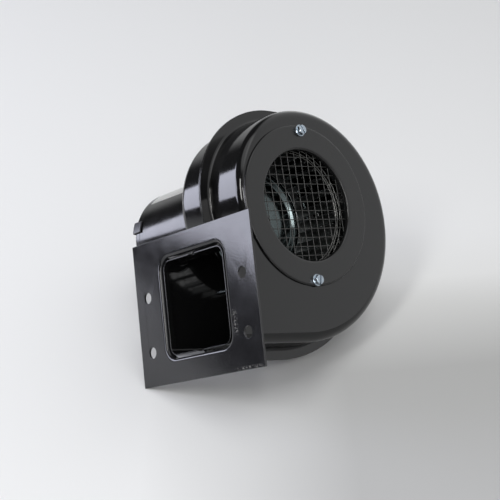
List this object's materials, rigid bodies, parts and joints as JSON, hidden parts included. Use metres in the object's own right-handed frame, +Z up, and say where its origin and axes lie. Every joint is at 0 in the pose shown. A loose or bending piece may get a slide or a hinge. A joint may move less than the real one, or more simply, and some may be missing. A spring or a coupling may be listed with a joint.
{
  "type": "centrifugal blower",
  "caption": "Forward-curved centrifugal blower: drawn scroll housing with a flanged side outlet, mesh-guarded round inlet, blade wheel and a round motor behind it.",
  "frame": {"origin": "bottom centre of the bounding box: on the ground under the middle of the whole blower", "axes": "+Z up; the wheel's axis runs along Y, the inlet faces -Y and the motor lies towards +Y; the outlet flange faces -X"},
  "size_m": [0.1712, 0.1768, 0.1918],
  "materials": {
    "black_paint": "gloss",
    "zinc": "bright",
    "wheel_steel": "dark, satin",
    "ring_steel": "satin",
    "hub_steel": "turned",
    "screw_steel": "black oxide",
    "shaft_steel": "ground",
    "lamination": "matt",
    "rotor_metal": "turned",
    "copper_winding": "varnished",
    "bronze": "sintered",
    "spring_steel": "bright",
    "clip_steel": "satin",
    "fibre": "matt",
    "black_rubber": "matt"
  },
  "bodies": {
    "housing_and_motor": {"front_scroll_shell": "black_paint", "rear_scroll_shell": "black_paint", "outlet_flange": "black_paint", "inlet_ring": "black_paint", "inlet_guard": "black_paint", "ring_screw_top": "zinc", "ring_screw_bottom": "zinc", "motor_mount_plate": "black_paint", "motor_mount_screw_1": "zinc", "motor_mount_screw_2": "zinc", "motor_mount_screw_3": "zinc", "motor_front_bell": "black_paint", "motor_shell": "black_paint", "motor_end_cap": "black_paint", "motor_clip_1": "clip_steel", "motor_clip_2": "clip_steel", "motor_clip_3": "clip_steel", "lead_grommet": "black_rubber", "stator_core": "lamination", "stator_coil_1": "copper_winding", "stator_coil_2": "copper_winding", "stator_coil_3": "copper_winding", "stator_coil_4": "copper_winding", "front_bearing": "bronze", "rear_bearing": "bronze", "front_bearing_retainer": "spring_steel", "rear_bearing_retainer": "spring_steel"},
    "wheel_and_rotor": {"wheel_blade_cage": "wheel_steel", "wheel_front_ring": "ring_steel", "wheel_back_plate": "wheel_steel", "wheel_hub": "hub_steel", "hub_set_screw": "screw_steel", "motor_shaft": "shaft_steel", "rotor_core": "rotor_metal", "front_thrust_washer": "fibre", "rear_thrust_washer": "fibre"}
  },
  "joints": [
    {"name": "wheel_spin", "type": "hinge", "parent": "housing_and_motor", "child": "wheel_and_rotor", "pos_m": [-0.00535, -0.05945, 0.11315], "axis": [0, 1, 0], "continuous": true}
  ]
}
